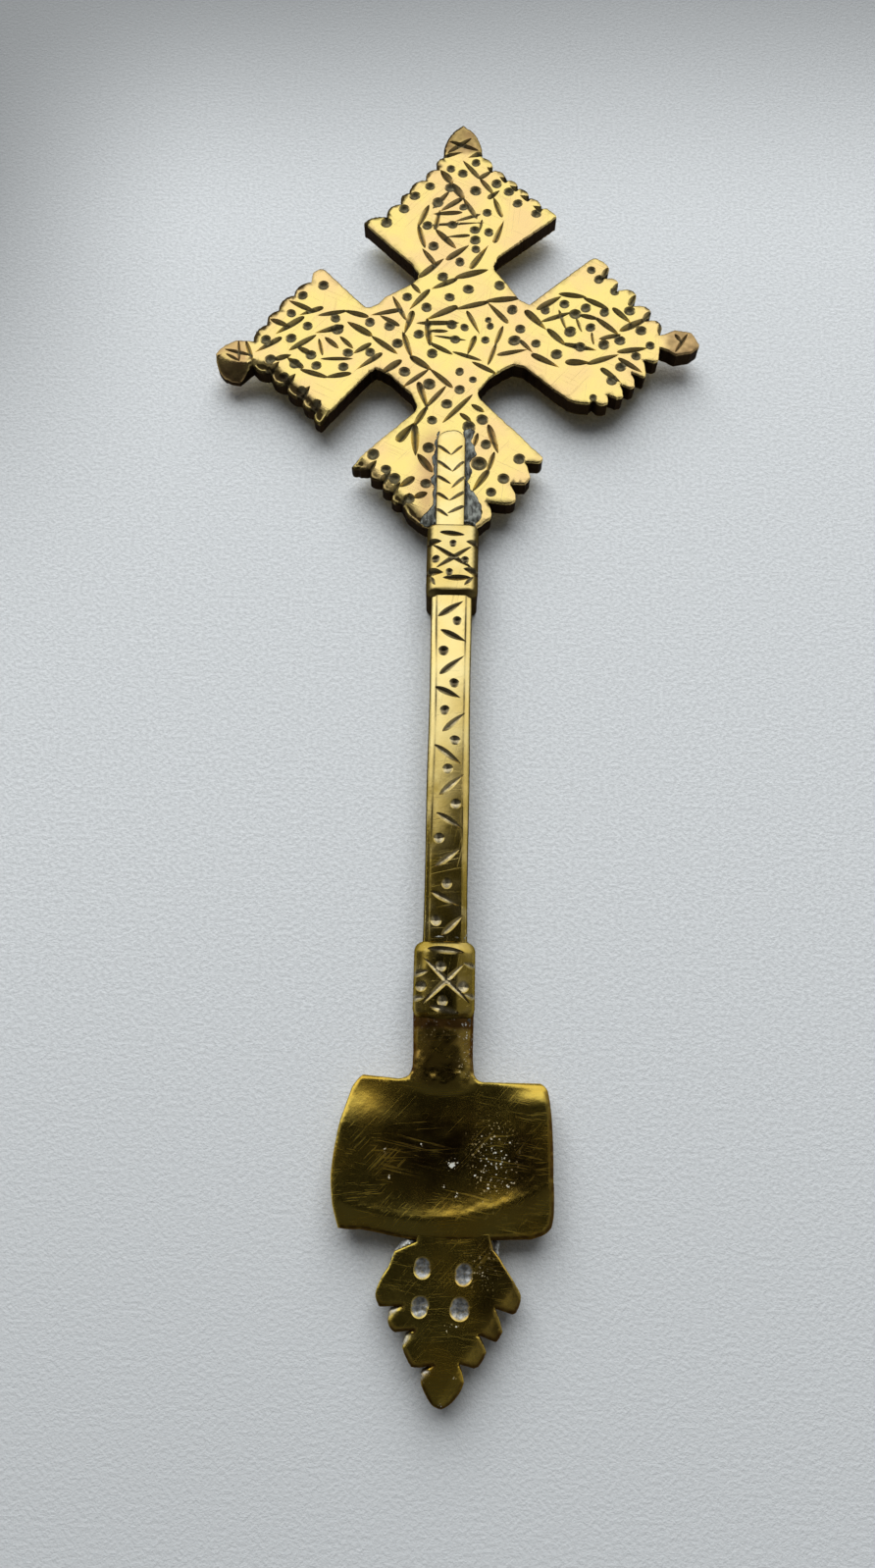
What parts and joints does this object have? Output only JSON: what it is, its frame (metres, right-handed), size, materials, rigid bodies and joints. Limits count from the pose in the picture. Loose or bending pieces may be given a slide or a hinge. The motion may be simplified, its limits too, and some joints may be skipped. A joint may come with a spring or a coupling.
{
  "type": "hand cross",
  "caption": "Engraved brass hand cross: a serrated plate cross with pointed finials, gripped by a forked square handle with collars, over a dished plaque ending in a toothed leaf.",
  "frame": {"origin": "under the middle of the whole length, on the plane of the backs of the two collars, on which the cross lies", "axes": "+X across the arms to the viewer's right, +Y along the handle from the leaf to the top finial, +Z out of the engraved front face"},
  "size_m": [0.0904, 0.23, 0.009],
  "materials": {
    "head_brass": "polished and scratched, with dark grime in the engraving",
    "handle_brass": "hand-worn, bright on the edges and olive on the flats",
    "base_brass": "dull olive-brown patina with pale polish residue",
    "solder": "rough grey solder with dark flux"
  },
  "bodies": {
    "root": {"cross_head": "head_brass", "handle_bar": "handle_brass", "upper_collar": "handle_brass", "lower_collar": "handle_brass", "base_plaque": "base_brass", "base_leaf": "base_brass", "head_solder": "solder", "upper_collar_solder": "solder", "lower_collar_solder": "solder", "neck_solder": "solder", "leaf_solder": "solder"}
  },
  "joints": []
}
